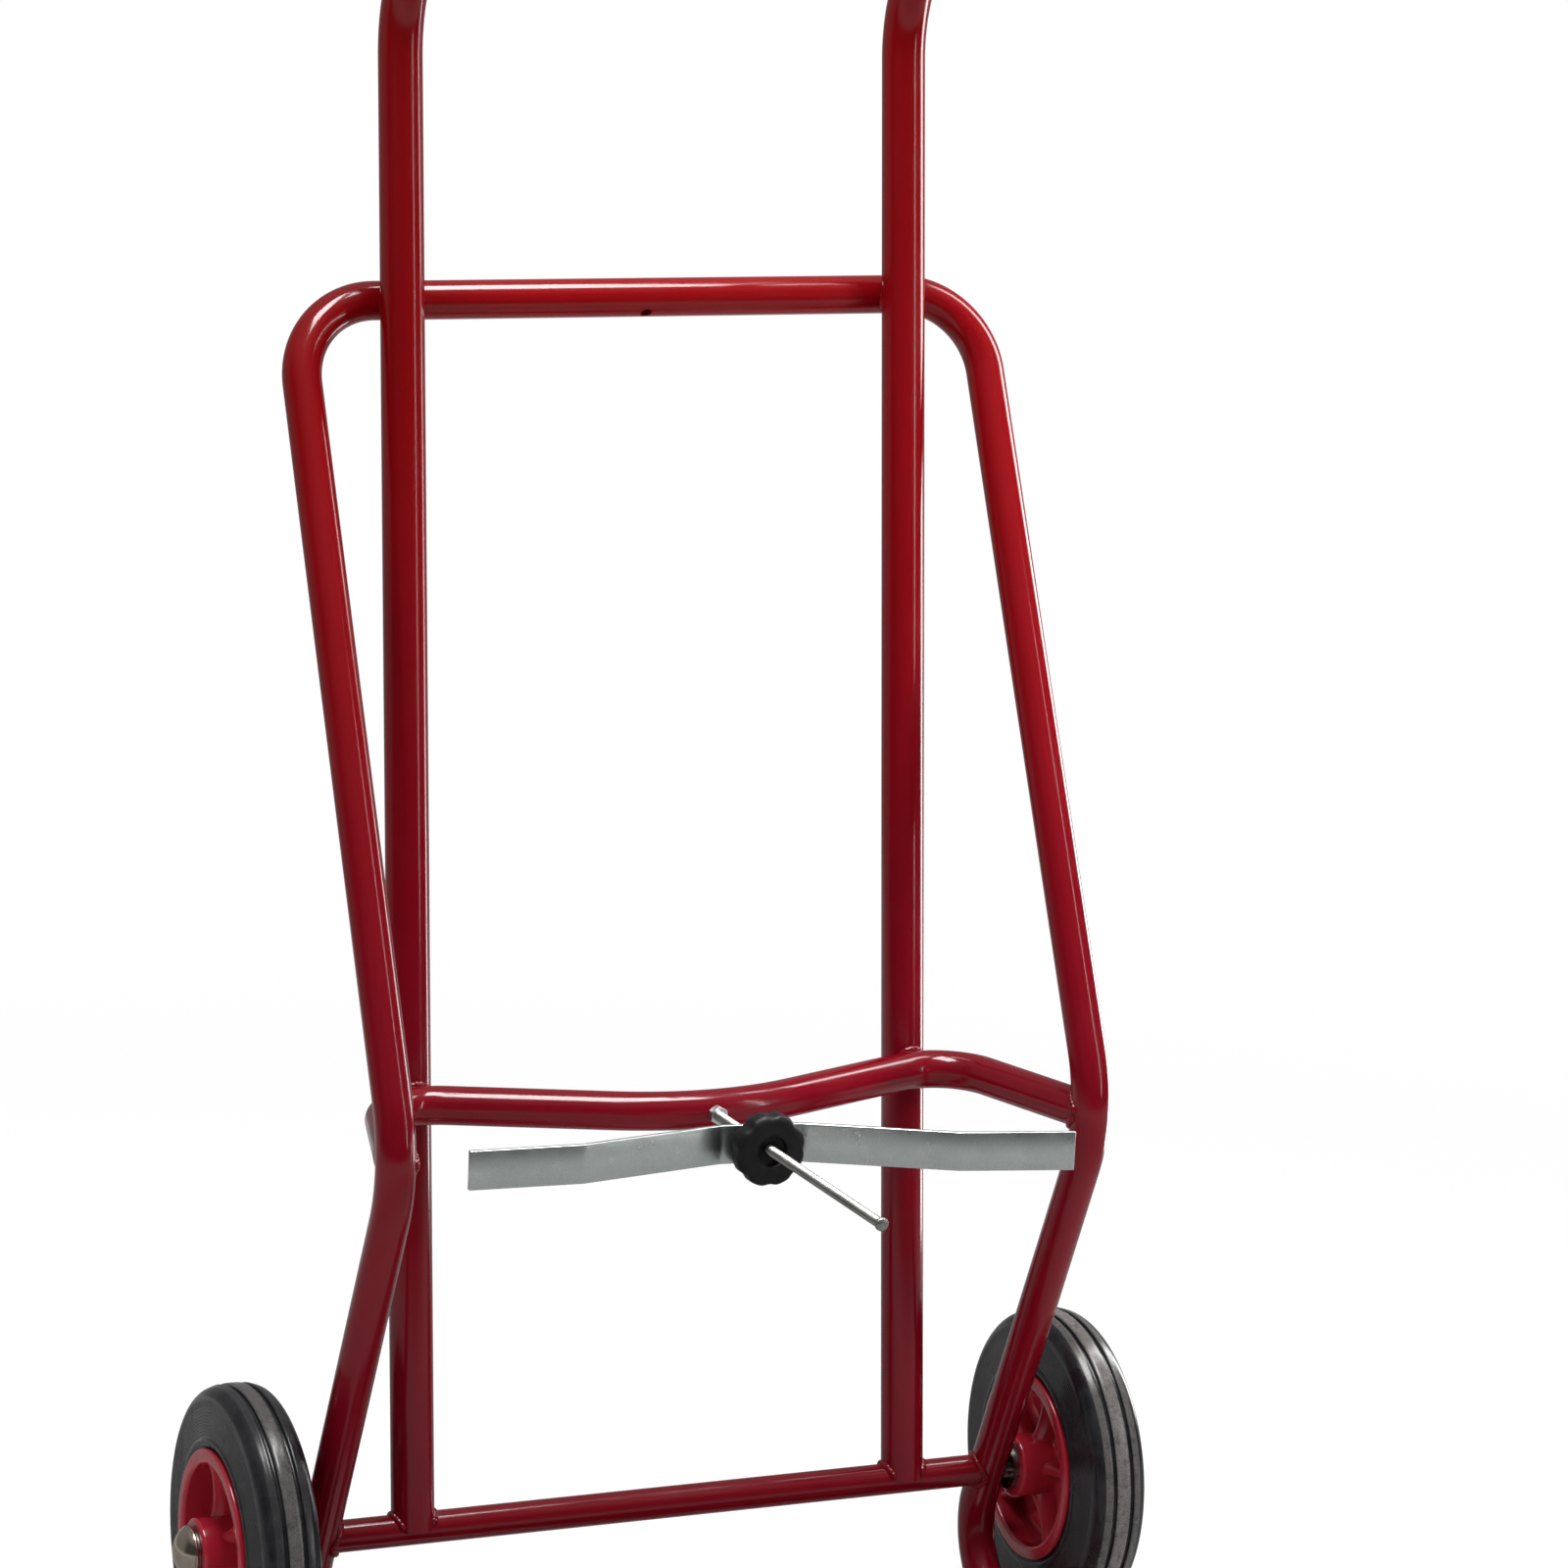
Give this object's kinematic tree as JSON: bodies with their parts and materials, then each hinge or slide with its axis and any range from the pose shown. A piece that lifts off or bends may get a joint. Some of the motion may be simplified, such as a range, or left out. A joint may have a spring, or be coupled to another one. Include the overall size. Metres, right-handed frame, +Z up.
{
  "type": "cylinder hand truck",
  "caption": "Red tube-frame hand truck on spoked rubber-tyred wheels, with a base plate, a wave-shaped saddle bar and a screw clamp bar that holds gas cylinders upright side by side.",
  "frame": {"origin": "on the floor, at the middle of the base plate's underside", "axes": "+Z up, +X to the right as seen from the cylinder side, -Y towards the cylinders and the clamp knob"},
  "size_m": [0.8026, 0.5282, 1.4005],
  "materials": {
    "frame_red": "glossy powder coat",
    "rim_red": "glossy moulded plastic",
    "tyre_rubber": "solid rubber, dusty tread",
    "zinc": "bright zinc plating",
    "bare_steel": "drawn steel",
    "cap_chrome": "bright plated",
    "knob_black": "matt moulded plastic",
    "insert_steel": "blackened",
    "grip_black": "ribbed soft grip",
    "plug_black": "matt moulded plastic",
    "bush_plastic": "natural nylon"
  },
  "bodies": {
    "frame": {"top_hoop": "frame_red", "left_side_tube": "frame_red", "right_side_tube": "frame_red", "lower_cross_tube": "frame_red", "left_handle_tube": "frame_red", "right_handle_tube": "frame_red", "saddle_bar": "frame_red", "base_plate": "frame_red", "axle": "bare_steel", "left_handle_grip": "grip_black", "right_handle_grip": "grip_black", "left_rail_plug": "plug_black", "right_rail_plug": "plug_black", "clamp_stud": "zinc", "stud_front_nut": "zinc", "stud_rear_nut": "zinc", "left_axle_spacer": "bare_steel", "right_axle_spacer": "bare_steel", "left_axle_washer": "bare_steel", "right_axle_washer": "bare_steel", "left_hub_cap": "cap_chrome", "right_hub_cap": "cap_chrome"},
    "left_wheel": {"left_wheel_rim": "rim_red", "left_tyre": "tyre_rubber", "left_hub_bush": "bush_plastic"},
    "right_wheel": {"right_wheel_rim": "rim_red", "right_tyre": "tyre_rubber", "right_hub_bush": "bush_plastic"},
    "clamp_carrier": {"clamp_washer": "zinc"},
    "clamp_bar": {"clamp_bar": "zinc"},
    "clamp_knob": {"clamp_knob": "knob_black", "knob_insert": "insert_steel"}
  },
  "joints": [
    {"name": "left_wheel_spin", "type": "hinge", "parent": "frame", "child": "left_wheel", "pos_m": [-0.345, 0.12, 0.125], "axis": [1, 0, 0], "continuous": true},
    {"name": "right_wheel_spin", "type": "hinge", "parent": "frame", "child": "right_wheel", "pos_m": [0.345, 0.12, 0.125], "axis": [1, 0, 0], "continuous": true},
    {"name": "clamp_slide", "type": "slide", "parent": "frame", "child": "clamp_carrier", "axis": [0, -1, 0], "range_m": [-0.06, 0.18]},
    {"name": "bar_swivel", "type": "hinge", "parent": "clamp_carrier", "child": "clamp_bar", "pos_m": [0, -0.036, 0.462], "axis": [0, -1, 0], "range_deg": [-90, 90]},
    {"name": "knob_turn", "type": "hinge", "parent": "clamp_carrier", "child": "clamp_knob", "pos_m": [0, -0.05, 0.462], "axis": [0, -1, 0], "range_deg": [-17300, 51900]}
  ],
  "couplings": [
    {"joint": "knob_turn", "follows": "clamp_slide", "rad_per_m": 5026.5}
  ]
}
